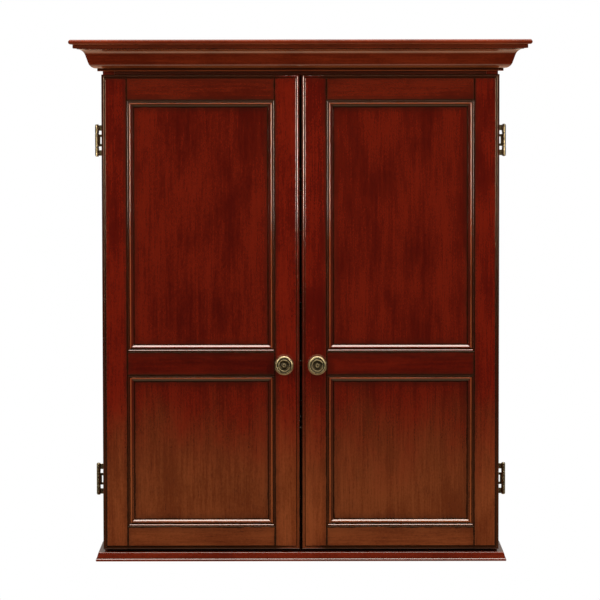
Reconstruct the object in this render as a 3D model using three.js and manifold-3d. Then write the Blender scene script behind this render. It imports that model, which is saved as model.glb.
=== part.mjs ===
// A wall-hung dartboard cabinet with a crown, a moulded base and two frame-and-panel doors.
// Units are millimetres, +Z is up and the front faces -Y. The origin lies on the wall plane,
// straight behind the bull, so x = 0 is the middle of the cabinet and y = 0 is the wall.
import * as THREE from "three";
import { mergeVertices } from "three/addons/utils/BufferGeometryUtils.js";
import Module from "manifold-3d";

const wasm = await Module();
wasm.setup();

// ---- Driving dimensions -------------------------------------------------------------------
const clear = 0.3; // gap left between two pieces that touch

const overallHeight = 816;
const bottomZ = -overallHeight / 2; // underside of the base board
const topZ = overallHeight / 2; // top of the crown cap

const carcass = { width: 618, depth: 110, side: 18, board: 12, rabbet: 9 };
// ledge, lip, fillet, nose, foot and head are how far each one stands out past the carcass
const base = { thickness: 14, ledge: 8.8, lip: 12.7, lipTop: 4, lipRound: 1.6 };
const cap = { thickness: 13.5, fillet: 44.5, nose: 51, noseRadius: 3.7 };
const crown = { height: 35.5, foot: 8.2, footHeight: 4.3, head: 38.5, radius: 13.2, steepest: 20 };
const back = { thickness: 9 };
const cork = { thickness: 6 };
const hangingRail = { height: 60, depth: 15 };
const header = { height: 49, depth: 15 };

const door = {
  width: 309,
  height: 745,
  thickness: 20,
  gap: 3, // between the two doors
  standoff: 3, // from the carcass to the back of the door, where the hinge leaves lie
  lift: 3, // from the base board to the bottom of the door
  stile: 39,
  topRail: 40,
  middleRail: 36.6,
  bottomRail: 37,
  middleRailZ: -79, // its middle, from the middle of the door
  panelLevel: 7.5, // how far the panel lies behind the face of the frame
  panel: 6, // its thickness
  tongue: 5.7, // how far it runs into the groove
};
const bead = { width: 10.6 };
const scoreboard = { thickness: 4 };
const rack = { length: 258, depth: 34, height: 14, z: -296.5, holeRadius: 4.8, pitch: 55 };
const knob = { fromEdge: 24.4, z: -81.3, sides: 24 };
const strike = { width: 25, height: 16, thickness: 1, fromEdge: 8, z: 346 };
const latch = { width: 64, depth: 16, height: 11.5, tabWidth: 88, tab: 2, proud: 0.4 };

const hinge = {
  height: 50,
  axisOut: 9.3, // from the carcass side to the pin
  leaf: 17, // width of the flat leaf
  metal: 1.1,
  barrel: 3.2,
  bore: 1.75,
  pin: 1.45,
  middleKnuckle: 21,
  middleNeck: 18.6,
  slit: { from: 5.2, height: 10.8 }, // window in the middle neck, beside the flat leaf
  outerNeck: 8.6,
  fromTop: 103, // its middle, from the top of the door
  fromBottom: 110,
  sides: 16,
};

const board = {
  radius: 225.5,
  band: 1.5, // thickness of the band round it
  bandProud: 1, // how far the band stands in front of the sisal
  backY: -23.5,
  backing: 8,
  frontY: -59.5,
  sides: 48,
};
const wire = { section: 1.2, rings: [7, 16.5, 99.6, 107.6, 162.6, 170.6], reach: 184 };
const numberRing = { radius: 205, wire: 1.2, y: -62.9 };
const bracket = { web: 44, flange: 16, height: 64, metal: 1.6, raised: 5.6, slot: 3 };
const hook = { shaft: 2.2, head: 4.8, headThickness: 2.4, into: 7 };

// ---- Places worked out from them ----------------------------------------------------------
const halfWidth = carcass.width / 2;
const innerHalf = halfWidth - carcass.side;
const baseTop = bottomZ + base.thickness;
const floorZ = baseTop + carcass.board; // top of the bottom panel
const capZ = topZ - cap.thickness;
const crownZ = capZ - crown.height;
const topPanelZ = capZ - carcass.board;
const headerZ = topPanelZ - header.height;
const doorZ = baseTop + door.lift + door.height / 2;
const doorX = door.gap / 2 + door.width / 2;
const doorBackY = -carcass.depth - door.standoff;
const hingeX = halfWidth + hinge.axisOut;
const hingeY = -carcass.depth - door.standoff / 2;
const corkY = -back.thickness - clear - cork.thickness; // front of the cork

// ---- Materials ----------------------------------------------------------------------------
const materials = {
  mahogany: new THREE.MeshStandardMaterial({ color: 0x5a1c10, roughness: 0.35 }),
  backing: new THREE.MeshStandardMaterial({ color: 0x4a2a1c, roughness: 0.7 }),
  cork: new THREE.MeshStandardMaterial({ color: 0xa9835a, roughness: 0.95 }),
  slate: new THREE.MeshStandardMaterial({ color: 0x1c1e1d, roughness: 0.8 }),
  brass: new THREE.MeshStandardMaterial({ color: 0x7d6a3c, roughness: 0.4, metalness: 1 }),
  steel: new THREE.MeshStandardMaterial({ color: 0xb4b6b8, roughness: 0.35, metalness: 1 }),
  black: new THREE.MeshStandardMaterial({ color: 0x151515, roughness: 0.5 }),
  sisal: new THREE.MeshStandardMaterial({ color: 0x8d8268, roughness: 0.95 }),
};

// ---- Solids -------------------------------------------------------------------------------
// A closed three.js geometry as a manifold-3d solid, whichever way its faces point.
function solidOf(geometry) {
  const bare = new THREE.BufferGeometry();
  bare.setAttribute("position", geometry.getAttribute("position"));
  bare.setIndex(geometry.index);
  const merged = mergeVertices(bare, 1e-4);
  const vertProperties = new Float32Array(merged.getAttribute("position").array);
  const triVerts = new Uint32Array(merged.index.array);
  const made = new wasm.Manifold(new wasm.Mesh({ numProp: 3, vertProperties, triVerts }));
  if (made.volume() > 0) return made;
  for (let i = 0; i < triVerts.length; i += 3) {
    const first = triVerts[i];
    triVerts[i] = triVerts[i + 1];
    triVerts[i + 1] = first;
  }
  return new wasm.Manifold(new wasm.Mesh({ numProp: 3, vertProperties, triVerts }));
}

// A solid as a three.js geometry.
function geometryOf(solid) {
  const mesh = solid.getMesh();
  const geometry = new THREE.BufferGeometry();
  geometry.setAttribute("position", new THREE.BufferAttribute(mesh.vertProperties, 3));
  geometry.setIndex(new THREE.BufferAttribute(mesh.triVerts, 1));
  return geometry;
}

// A box between two values on each axis.
function box([x0, x1], [y0, y1], [z0, z1]) {
  const geometry = new THREE.BoxGeometry(x1 - x0, y1 - y0, z1 - z0);
  return solidOf(geometry.translate((x0 + x1) / 2, (y0 + y1) / 2, (z0 + z1) / 2));
}

// A round bar along Z, standing on z0.
function barZ(radius, z0, z1, sides) {
  const geometry = new THREE.CylinderGeometry(radius, radius, z1 - z0, sides);
  return solidOf(geometry.rotateX(Math.PI / 2).translate(0, 0, (z0 + z1) / 2));
}

// A turned solid round an axis along -Y. Each point is [radius, distance in front of y = 0].
function turned(points, sides) {
  const profile = points.map(([radius, out]) => new THREE.Vector2(radius, -out));
  return solidOf(new THREE.LatheGeometry(profile, sides));
}

// A shape in the XY plane, from a list of points.
function shapeOf(points) {
  return new THREE.Shape(points.map(([x, y]) => new THREE.Vector2(x, y)));
}

// Points along a quarter of an ellipse, from one end of it to the other.
function quarter(centre, radii, fromAngle, toAngle, steps) {
  return Array.from({ length: steps + 1 }, (_, i) => {
    const angle = fromAngle + ((toAngle - fromAngle) * i) / steps;
    return [centre[0] + radii[0] * Math.cos(angle), centre[1] + radii[1] * Math.sin(angle)];
  });
}

// A profile run round a rectangle with mitred corners. A point is [out, along Y], where out
// counts from the core rectangle, which lies in the XZ plane. A profile that starts and ends
// at out = 0 makes a slab, and a closed one that stays clear of it makes a frame.
function roundRectangle(points, coreWidth, coreHeight) {
  const profile = points.map(([out, y]) => new THREE.Vector2(out * Math.SQRT2, y));
  const geometry = new THREE.LatheGeometry(profile, 4, Math.PI / 4);
  const position = geometry.getAttribute("position");
  for (let i = 0; i < position.count; i++) {
    const x = position.getX(i);
    const z = position.getZ(i);
    const onAxis = Math.hypot(x, z) < 1e-6;
    if (onAxis) position.setXYZ(i, 0, position.getY(i), 0);
    else {
      position.setX(i, x + (Math.sign(x) * coreWidth) / 2);
      position.setZ(i, z + (Math.sign(z) * coreHeight) / 2);
    }
  }
  return solidOf(geometry);
}

// A moulding: a profile of [out, up] run for a length, with its ends mitred where asked.
function moulding(points, length, mitreStart, mitreEnd) {
  const options = { depth: length, bevelEnabled: false };
  const geometry = new THREE.ExtrudeGeometry(shapeOf(points), options);
  const position = geometry.getAttribute("position");
  for (let i = 0; i < position.count; i++) {
    const out = position.getX(i);
    const atStart = position.getZ(i) < length / 2;
    if (atStart && mitreStart) position.setZ(i, clear - out);
    if (!atStart && mitreEnd) position.setZ(i, length + out - clear);
  }
  return solidOf(geometry);
}

function meshOf(name, solid, material) {
  const mesh = new THREE.Mesh(geometryOf(solid), material);
  mesh.name = name;
  return mesh;
}

// ---- Carcass ------------------------------------------------------------------------------
// A side board of L section: its back edge is rabbeted for the back panel.
function sidePanel(name, side) {
  const shape = shapeOf([
    [innerHalf, -carcass.depth],
    [halfWidth, -carcass.depth],
    [halfWidth, 0],
    [halfWidth - carcass.rabbet, 0],
    [halfWidth - carcass.rabbet, -back.thickness - clear],
    [innerHalf, -back.thickness - clear],
  ]);
  const options = { depth: capZ - baseTop - 2 * clear, bevelEnabled: false };
  const mesh = meshOf(name, solidOf(new THREE.ExtrudeGeometry(shape, options)), materials.mahogany);
  mesh.position.z = baseTop + clear;
  mesh.scale.x = side;
  return mesh;
}

// A board that fits between the sides.
function innerBoard(name, ys, zs, material) {
  const half = innerHalf - clear;
  return meshOf(name, box([-half, half], ys, zs), material);
}

function carcassMeshes() {
  const insideY = -back.thickness - clear;
  const backHalf = halfWidth - carcass.rabbet - clear;
  const railBack = [insideY - hangingRail.depth, insideY];
  const railLow = [floorZ + clear, floorZ + hangingRail.height];
  const railHigh = [topPanelZ - hangingRail.height, topPanelZ - clear];
  return [
    sidePanel("side_panel_left", -1),
    sidePanel("side_panel_right", 1),
    innerBoard("top_panel", [-carcass.depth, insideY], [topPanelZ, capZ - clear], materials.mahogany),
    innerBoard("bottom_panel", [-carcass.depth, insideY], [baseTop + clear, floorZ], materials.mahogany),
    innerBoard(
      "header_rail",
      [-carcass.depth, -carcass.depth + header.depth],
      [headerZ, topPanelZ - clear],
      materials.mahogany,
    ),
    meshOf(
      "back_panel",
      box([-backHalf, backHalf], [-back.thickness, 0], [baseTop + clear, capZ - clear]),
      materials.backing,
    ),
    innerBoard("cork_liner", [corkY, insideY], [railLow[1] + clear, railHigh[0] - clear], materials.cork),
    innerBoard("hanging_rail_lower", railBack, railLow, materials.backing),
    innerBoard("hanging_rail_upper", railBack, railHigh, materials.backing),
  ];
}

// A board whose front and two ends carry a moulded edge. The profile is [out, up], where out
// counts from the carcass sides, and frontOut moves the front edge forward by that much more.
function mouldedBoard(name, profile, z, frontOut) {
  const spread = 100; // keeps the profile clear of the core, and puts the back edge past the wall
  const depth = carcass.depth + frontOut;
  const points = profile.map(([out, up]) => [out === null ? 0 : out + spread, up]);
  const slab = roundRectangle(points, carcass.width - 2 * spread, 2 * depth - 2 * spread);
  const upright = slab.rotate([90, 0, 0]);
  const reach = 2 * halfWidth;
  const wallSide = box([-reach, reach], [-reach, 0], [-reach, reach]);
  const mesh = meshOf(name, upright.intersect(wallSide), materials.mahogany);
  mesh.position.z = z;
  return mesh;
}

// Bevelled face over a small rounded lip.
function baseBoard() {
  const { thickness, ledge, lip, lipTop, lipRound } = base;
  const profile = [
    [null, 0],
    ...quarter([lip - lipRound, lipRound], [lipRound, lipRound], -Math.PI / 2, 0, 3),
    [lip, lipTop - 0.8],
    [lip - 0.7, lipTop],
    [ledge, thickness],
    [null, thickness],
  ];
  const frontOut = door.standoff + door.thickness;
  return mouldedBoard("base_board", profile, bottomZ, frontOut);
}

// A round nose over a set-back fillet.
function crownCap() {
  const { thickness, fillet, nose, noseRadius } = cap;
  const noseBottom = thickness - 2 * noseRadius;
  const centre = [nose - noseRadius, thickness - noseRadius];
  const curve = quarter(centre, [noseRadius, noseRadius], -Math.PI / 2, Math.PI / 2, 8);
  const profile = [[null, 0], [fillet, 0], [fillet, noseBottom], ...curve, [null, thickness]];
  return mouldedBoard("crown_cap", profile, capZ, 0);
}

// Foot fillet, then an S curve out to the head: a round and a hollow of one radius, joined by
// a straight run that leans out by the steepest angle, in degrees from upright.
function crownProfile() {
  const { height, foot, footHeight, head, radius } = crown;
  const top = height - clear;
  const lean = (crown.steepest * Math.PI) / 180;
  const radii = [radius, radius];
  const round = quarter([foot + 1, footHeight + radius], radii, -Math.PI / 2, -lean, 7);
  const hollow = quarter([head, top - 0.8 - radius], radii, Math.PI - lean, Math.PI / 2, 7);
  return [[clear, 0], [foot, 0], [foot, footHeight], ...round, ...hollow, [head, top], [clear, top]];
}

function crownMeshes() {
  const profile = crownProfile();
  const front = meshOf("crown_front", moulding(profile, carcass.width, true, true), materials.mahogany);
  front.matrixAutoUpdate = false;
  front.matrix
    .makeBasis(new THREE.Vector3(0, -1, 0), new THREE.Vector3(0, 0, 1), new THREE.Vector3(-1, 0, 0))
    .setPosition(halfWidth, -carcass.depth, crownZ);
  const sides = [
    ["crown_left", -1],
    ["crown_right", 1],
  ].map(([name, side]) => {
    const mesh = meshOf(name, moulding(profile, carcass.depth, false, true), materials.mahogany);
    mesh.rotation.x = Math.PI / 2;
    const holder = new THREE.Group();
    holder.add(mesh);
    mesh.position.set(halfWidth, 0, crownZ);
    holder.scale.x = side;
    return holder;
  });
  return [crownCap(), front, ...sides];
}

// ---- Doors, in a frame on the middle of the door's back face, hinged on the +X side ---------
// The whole door as one slab, with a quirked round edge on all four sides of its face.
function doorBlank() {
  const core = 20;
  const front = -door.thickness;
  const round = 4.4;
  const edge = quarter([core - round, front + 6], [round, -round], 0, Math.PI / 2, 5);
  const profile = [
    [0, 0],
    [core, 0],
    ...edge,
    [core - 5, front + 1.6],
    [core - 5.2, front + 0.7],
    [core - 6.7, front],
    [0, front],
  ];
  return roundRectangle(profile, door.width - 2 * core, door.height - 2 * core);
}

const openingHalf = door.width / 2 - door.stile;
const openings = {
  upper: [door.middleRailZ + door.middleRail / 2, door.height / 2 - door.topRail],
  lower: [-door.height / 2 + door.bottomRail, door.middleRailZ - door.middleRail / 2],
};
const panelY = [-door.thickness + door.panelLevel, -door.thickness + door.panelLevel + door.panel];

// The groove that a panel runs in, as the solid to take away from the frame.
function groove([low, high]) {
  const reach = door.tongue + clear;
  return box(
    [-openingHalf - reach, openingHalf + reach],
    [panelY[0] - clear, panelY[1] + clear],
    [low - reach, high + reach],
  );
}

function frameMeshes(suffix) {
  const blank = doorBlank().subtract(groove(openings.upper)).subtract(groove(openings.lower));
  const half = clear / 2;
  const outX = door.width / 2;
  const outZ = door.height / 2;
  const across = [-openingHalf + half, openingHalf - half];
  const members = {
    stile_outer: [[openingHalf + half, outX], [-outZ, outZ]],
    stile_inner: [[-outX, -openingHalf - half], [-outZ, outZ]],
    rail_top: [across, [openings.upper[1], outZ]],
    rail_middle: [across, [openings.lower[1], openings.upper[0]]],
    rail_bottom: [across, [-outZ, openings.lower[0]]],
  };
  return Object.entries(members).map(([name, [xs, zs]]) => {
    const solid = blank.intersect(box(xs, [-door.thickness - 1, 1], zs));
    return meshOf(`${name}_${suffix}`, solid, materials.mahogany);
  });
}

function panelMesh(name, [low, high]) {
  const x = openingHalf + door.tongue;
  const solid = box([-x, x], panelY, [low - door.tongue, high + door.tongue]);
  return meshOf(name, solid, materials.mahogany);
}

// The moulding round a panel: a fillet, a quirk and a round down to the panel, mitred.
function beadMesh(name, [low, high]) {
  const core = 14;
  const front = -door.thickness;
  const backY = front + door.panelLevel - clear;
  const quirk = 2;
  const round = { start: 3.1, width: 6.5, depth: 4.4 };
  const curve = quarter([round.start, quirk + round.depth], [round.width, -round.depth], Math.PI / 2, 0, 5);
  const section = [[clear, 0.6], [1.9, 0.6], [2.2, quirk], ...curve, [bead.width, quirk + round.depth]];
  const points = section.map(([inward, level]) => [core - inward, front + level]);
  points.push([core - bead.width, backY], [core - clear, backY]);
  points.push(points[0]);
  const solid = roundRectangle(points, 2 * openingHalf - 2 * core, high - low - 2 * core);
  const mesh = meshOf(name, solid, materials.mahogany);
  mesh.position.z = (low + high) / 2;
  return mesh;
}

// Antique knob: a rose, a waisted neck and a dished face of rings with a button in the middle.
function knobMesh(name) {
  const profile = [
    [0, clear], [8.6, clear], [8.6, 1.8], [5.4, 4.6], [4.8, 8], [6.2, 11], [12.6, 13.8], [15, 16.6],
    [14.8, 18.8], [12.8, 20.6], [11.2, 20.2], [10, 21], [8.2, 20.8], [6.6, 19.4], [4, 19.4],
    [3.4, 21.4], [1.4, 21.4], [0, 20.8],
  ];
  const mesh = meshOf(name, turned(profile, knob.sides), materials.brass);
  mesh.position.set(-door.width / 2 + knob.fromEdge, -door.thickness, knob.z);
  return mesh;
}

// A shelf across the lower panel, with three holes that take darts point down.
function rackMesh(name) {
  const half = rack.length / 2;
  const corner = 8;
  const inner = rack.depth - corner;
  const outline = [
    [-half, 0],
    [half, 0],
    ...quarter([half - corner, inner], [corner, corner], 0, Math.PI / 2, 3),
    ...quarter([corner - half, inner], [corner, corner], Math.PI / 2, Math.PI, 3),
  ];
  const shape = shapeOf(outline);
  for (const x of [-rack.pitch, 0, rack.pitch]) {
    const hole = quarter([x, rack.depth / 2 + 2], [rack.holeRadius, rack.holeRadius], 0, 2 * Math.PI, 16);
    shape.holes.push(new THREE.Path(hole.slice(0, -1).map(([px, py]) => new THREE.Vector2(px, py))));
  }
  const options = { depth: rack.height, bevelEnabled: false };
  const mesh = meshOf(name, solidOf(new THREE.ExtrudeGeometry(shape, options)), materials.mahogany);
  mesh.position.set(0, clear, rack.z - rack.height / 2);
  return mesh;
}

function scoreboardMesh(name, [low, high]) {
  const x = openingHalf - clear;
  const y = panelY[1] + clear;
  const solid = box([-x, x], [y, y + scoreboard.thickness], [low + clear, high - clear]);
  return meshOf(name, solid, materials.slate);
}

function strikeMesh(name) {
  const x = -door.width / 2 + strike.fromEdge;
  const ys = [clear, clear + strike.thickness];
  const zs = [strike.z - strike.height / 2, strike.z + strike.height / 2];
  return meshOf(name, box([x, x + strike.width], ys, zs), materials.steel);
}

function doorGroup(suffix, side) {
  const group = new THREE.Group();
  group.add(
    ...frameMeshes(suffix),
    panelMesh(`panel_upper_${suffix}`, openings.upper),
    panelMesh(`panel_lower_${suffix}`, openings.lower),
    beadMesh(`bead_upper_${suffix}`, openings.upper),
    beadMesh(`bead_lower_${suffix}`, openings.lower),
    knobMesh(`knob_${suffix}`),
    scoreboardMesh(`scoreboard_${suffix}`, openings.upper),
    rackMesh(`dart_rack_${suffix}`),
    strikeMesh(`strike_plate_${suffix}`),
  );
  group.position.set(side * doorX, doorBackY, doorZ);
  group.scale.x = side;
  return group;
}

// ---- Hinges, in a frame on the pin, with the leaves running towards -X ----------------------
// A leaf, its necks and its knuckles. The front leaf is on the door and has the middle knuckle.
function leafSolid(onDoor) {
  const half = hinge.height / 2 - 1.2;
  const knuckle = hinge.middleKnuckle / 2;
  const near = clear / 2;
  const ys = onDoor ? [-near - hinge.metal, -near] : [near, near + hinge.metal];
  const neck = hinge.middleNeck / 2;
  const parts = onDoor
    ? [{ barrel: [-knuckle, knuckle], neck: [-neck, neck] }]
    : [
        { barrel: [knuckle + clear, half], neck: [half - hinge.outerNeck, half] },
        { barrel: [-half, -knuckle - clear], neck: [-half, hinge.outerNeck - half] },
      ];
  let solid = box([-hinge.axisOut - hinge.leaf, -hinge.axisOut], ys, [-half, half]);
  for (const part of parts) {
    solid = solid
      .add(box([-hinge.axisOut - 1, -hinge.barrel + 0.6], ys, part.neck))
      .add(barZ(hinge.barrel, part.barrel[0], part.barrel[1], hinge.sides));
  }
  if (onDoor) {
    const { from, height } = hinge.slit;
    const zs = [-height / 2, height / 2];
    solid = solid.subtract(box([-hinge.axisOut, -from], [-hinge.barrel, 0], zs));
  }
  return solid.subtract(barZ(hinge.bore, -hinge.height, hinge.height, hinge.sides));
}

// The pin, with a domed button at each end that closes the barrel.
function pinSolid() {
  const end = hinge.height / 2;
  const shoulder = end - 1.2 + clear;
  const dome = [
    [hinge.barrel - 0.2, shoulder],
    [hinge.barrel - 0.4, shoulder + 0.7],
    [hinge.barrel - 1.5, end + 0.2],
    [0, end + 0.4],
  ];
  const upper = [[hinge.pin, shoulder], ...dome];
  const lower = upper.map(([radius, z]) => [radius, -z]).reverse();
  return turned([...lower, ...upper], 12).rotate([90, 0, 0]);
}

function hingeGroup(level, suffix, side, z) {
  const group = new THREE.Group();
  const tag = `${level}_${suffix}`;
  group.add(
    meshOf(`hinge_leaf_carcass_${tag}`, leafSolid(false), materials.brass),
    meshOf(`hinge_leaf_door_${tag}`, leafSolid(true), materials.brass),
    meshOf(`hinge_pin_${tag}`, pinSolid(), materials.brass),
  );
  group.position.set(side * hingeX, hingeY, z);
  group.scale.x = side;
  return group;
}

// ---- Catch --------------------------------------------------------------------------------
// A double magnetic catch under the header, one end for each door.
function catchMesh() {
  const top = headerZ - clear;
  const frontY = -carcass.depth - latch.proud;
  const body = box(
    [-latch.width / 2, latch.width / 2],
    [frontY, frontY + latch.depth],
    [top - latch.height, top],
  );
  const tab = box(
    [-latch.tabWidth / 2, latch.tabWidth / 2],
    [frontY + 2, frontY + latch.depth - 2],
    [top - latch.tab, top],
  );
  return meshOf("magnetic_catch", body.add(tab), materials.black);
}

// ---- Dartboard ----------------------------------------------------------------------------
// A hat-section bracket with an open-topped slot that the hook screw drops into.
function bracketMesh() {
  const { web, flange, metal, raised, slot } = bracket;
  const backY = corkY - clear;
  const webHalf = web / 2;
  const foot = webHalf + flange;
  const half = [
    [foot, backY],
    [foot, backY - metal],
    [webHalf, backY - metal],
    [webHalf, backY - metal - raised],
  ];
  const inside = [
    [webHalf - metal, backY - raised],
    [webHalf - metal, backY],
  ];
  const mirrored = (points) => points.map(([x, y]) => [-x, y]).reverse();
  const outline = [...half, ...mirrored(half), ...mirrored(inside), ...inside];
  const options = { depth: bracket.height, bevelEnabled: false };
  const plate = solidOf(new THREE.ExtrudeGeometry(shapeOf(outline), options)).translate([
    0,
    0,
    -bracket.height / 2,
  ]);
  const slotZ = slot - hook.shaft - clear; // the middle of the slot's round foot
  const slotFoot = solidOf(new THREE.CylinderGeometry(slot, slot, 40, 16)).translate([0, backY, slotZ]);
  const throat = box([-slot, slot], [backY - 20, backY + 20], [slotZ, bracket.height]);
  return meshOf("board_bracket", plate.subtract(slotFoot.add(throat)), materials.black);
}

// A flat disc or ring round the bull, between two distances from the wall.
function disc(inner, outer, nearWall, farWall, sides) {
  const ring = [
    [inner, -nearWall],
    [outer, -nearWall],
    [outer, -farWall],
    [inner, -farWall],
  ];
  return turned(inner > 0 ? [...ring, ring[0]] : ring, sides);
}

function spiderSolid() {
  const nearY = board.frontY - clear;
  const farY = nearY - wire.section;
  const half = wire.section / 2;
  const outer = wire.rings[1];
  const rings = wire.rings.map((radius) => {
    const sides = radius < 50 ? 20 : 40;
    return disc(radius - half, radius + half, nearY, farY, sides);
  });
  const spokes = Array.from({ length: 20 }, (_, i) =>
    box([-half, half], [farY, nearY], [outer, wire.reach]).rotate([0, 9 + 18 * i, 0]),
  );
  const stem = box([-half, half], [farY, nearY], [wire.rings[0], outer]);
  return wasm.Manifold.union([...rings, ...spokes, stem, stem.rotate([0, 180, 0])]);
}

function dartboardMeshes() {
  const backingFront = board.backY - board.backing;
  const fill = board.radius - board.band - clear;
  const hole = disc(0, hook.shaft + clear, board.backY + 1, board.backY - hook.into - clear, 12);
  const backing = disc(0, fill, board.backY, backingFront, board.sides).subtract(hole);
  const headY = corkY - bracket.raised + hook.headThickness;
  const screw = [
    [0, -headY],
    [hook.head, -headY],
    [hook.head, -headY + hook.headThickness],
    [hook.shaft, -headY + hook.headThickness],
    [hook.shaft, -board.backY + hook.into],
    [0, -board.backY + hook.into],
  ];
  const { radius, wire: ringWire, y: ringY } = numberRing;
  const numberWire = quarter([radius, -ringY], [ringWire, ringWire], 0, 2 * Math.PI, 6);
  const sisal = disc(0, fill, backingFront - clear, board.frontY, board.sides);
  const band = disc(fill + clear, board.radius, board.backY, board.frontY - board.bandProud, board.sides);
  return [
    meshOf("board_backing", backing, materials.backing),
    meshOf("sisal_disc", sisal, materials.sisal),
    meshOf("rim_band", band, materials.black),
    meshOf("wire_spider", spiderSolid(), materials.steel),
    meshOf("board_hook_screw", turned(screw, 16), materials.steel),
    meshOf("number_ring", turned(numberWire, board.sides), materials.steel),
  ];
}

// ---- The cabinet ----------------------------------------------------------------------------
const hingeZ = {
  upper: doorZ + door.height / 2 - hinge.fromTop,
  lower: doorZ - door.height / 2 + hinge.fromBottom,
};

const cabinet = new THREE.Group();
cabinet.add(...carcassMeshes(), baseBoard(), ...crownMeshes(), catchMesh(), bracketMesh());
for (const [suffix, side] of [
  ["left", -1],
  ["right", 1],
]) {
  cabinet.add(doorGroup(suffix, side));
  for (const level of ["upper", "lower"]) {
    cabinet.add(hingeGroup(level, suffix, side, hingeZ[level]));
  }
}
cabinet.add(...dartboardMeshes());

export default cabinet;
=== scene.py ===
"""The looks of a dartboard cabinet: stained mahogany under lacquer, aged brass, and the board, racks and
scoreboards behind the doors. Metres, in the frame of the CAD model: the doors face -Y and +Z is up."""
import math

import bmesh
import bpy
from mathutils import Matrix, Vector


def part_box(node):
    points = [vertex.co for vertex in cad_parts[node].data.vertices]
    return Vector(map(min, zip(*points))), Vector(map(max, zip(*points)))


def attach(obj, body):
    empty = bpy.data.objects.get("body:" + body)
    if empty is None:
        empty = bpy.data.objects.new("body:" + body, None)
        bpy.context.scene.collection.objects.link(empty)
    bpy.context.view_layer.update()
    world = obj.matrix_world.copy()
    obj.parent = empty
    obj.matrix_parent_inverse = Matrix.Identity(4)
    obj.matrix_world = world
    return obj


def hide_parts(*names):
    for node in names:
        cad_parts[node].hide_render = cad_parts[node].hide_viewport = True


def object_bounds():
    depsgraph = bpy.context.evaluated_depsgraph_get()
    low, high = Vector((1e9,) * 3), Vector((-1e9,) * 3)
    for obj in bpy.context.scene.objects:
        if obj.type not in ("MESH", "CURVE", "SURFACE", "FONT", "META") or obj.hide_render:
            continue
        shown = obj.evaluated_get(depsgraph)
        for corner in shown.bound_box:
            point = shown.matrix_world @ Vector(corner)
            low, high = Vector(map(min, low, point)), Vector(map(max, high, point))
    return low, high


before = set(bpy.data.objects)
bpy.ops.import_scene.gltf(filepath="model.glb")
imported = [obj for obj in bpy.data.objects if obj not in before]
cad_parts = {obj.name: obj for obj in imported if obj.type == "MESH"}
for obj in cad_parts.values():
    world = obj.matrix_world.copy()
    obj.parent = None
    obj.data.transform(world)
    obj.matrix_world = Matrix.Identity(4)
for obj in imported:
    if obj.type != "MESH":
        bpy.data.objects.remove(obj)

CAD_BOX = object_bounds()
MM = 0.001
SIDES = (("left", -1), ("right", 1))
LEVELS = ("upper", "lower")
X, Y, Z = Vector((1, 0, 0)), Vector((0, 1, 0)), Vector((0, 0, 1))


def span(node):
    """A CAD node's two corners, as (x0, x1), (y0, y1), (z0, z1)."""
    low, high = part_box(node)
    return tuple(zip(low, high))


# ---- Camera, light and floor ----------------------------------------------------------------
LENS = 223.0
SENSOR = 36.0
CAMERA_X = -0.0011
CAMERA_DISTANCE = 5.80  # from the front of the doors
EYE_BELOW_TOP = 0.0387
PITCH = math.radians(3.626)
ROLL = -0.0014


def add_camera():
    """A long lens, a little below the crown's top, tipped down."""
    data = bpy.data.cameras.new("camera")
    data.lens = LENS
    data.sensor_width = SENSOR
    camera = bpy.data.objects.new("camera", data)
    door_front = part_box("rail_top_left")[0].y
    place = Vector((CAMERA_X, door_front - CAMERA_DISTANCE, CAD_BOX[1].z - EYE_BELOW_TOP))
    turn = Matrix.Rotation(math.pi / 2 - PITCH, 4, "X") @ Matrix.Rotation(ROLL, 4, "Z")
    camera.matrix_world = Matrix.Translation(place) @ turn
    bpy.context.scene.collection.objects.link(camera)
    bpy.context.scene.camera = camera


def add_light(name, place, target, size, power, colour):
    """A rectangular light that faces a target."""
    data = bpy.data.lights.new(name, "AREA")
    data.shape = "RECTANGLE"
    data.size, data.size_y = size
    data.energy = power
    data.color = colour
    light = bpy.data.objects.new(name, data)
    back = (Vector(place) - Vector(target)).normalized()
    side = Z.cross(back).normalized() if abs(back.z) < 0.99 else X
    turn = Matrix((side, back.cross(side), back)).transposed().to_4x4()
    light.matrix_world = Matrix.Translation(place) @ turn
    bpy.context.scene.collection.objects.link(light)


IVORY = (1, 0.96, 0.91)
WARM = (1, 0.90, 0.78)
BUFF = (1, 0.93, 0.84)
AMBER = (1, 0.82, 0.62)


def add_lights():
    """A broad light overhead and two tall, narrow ones in front, which end near the height of the bull."""
    add_light("softbox_top", (0, -0.35, 2.6), (0, -0.35, 0), (3.4, 2.4), 210, IVORY)
    for suffix, side in SIDES:
        place = Vector((1.72 * side, -2.6, 1.15))
        add_light("softbox_" + suffix, place, (0, -0.13, place.z), (0.28, 2.3), 66, WARM)


def add_world():
    """A white backdrop all round, which lights the object from behind, most from the sides, and hardly from
    in front."""
    world = bpy.data.worlds.new("studio")
    bpy.context.scene.world = world
    world.use_nodes = True
    tree = world.node_tree
    tree.nodes.clear()
    backdrop = node(tree, "ShaderNodeBackground", {"Color": (1, 1, 1, 1), "Strength": 1.0})
    backward = parts_of(tree, node(tree, "ShaderNodeTexCoord").outputs["Generated"])["Y"]
    all_round = spread(tree, backward, -0.05, 0.45, 0.02, 0.45)
    strength = calc(tree, "SUBTRACT", all_round, spread(tree, backward, 0.94, 0.99, 0.0, 0.25))
    ambient = node(tree, "ShaderNodeBackground", {"Color": BUFF + (1,), "Strength": strength})
    path = node(tree, "ShaderNodeLightPath")
    mixed = node(tree, "ShaderNodeMixShader", {0: path.outputs["Is Camera Ray"], 1: ambient, 2: backdrop})
    node(tree, "ShaderNodeOutputWorld", {"Surface": mixed})
    bpy.context.scene.view_settings.view_transform = "Standard"


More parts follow.
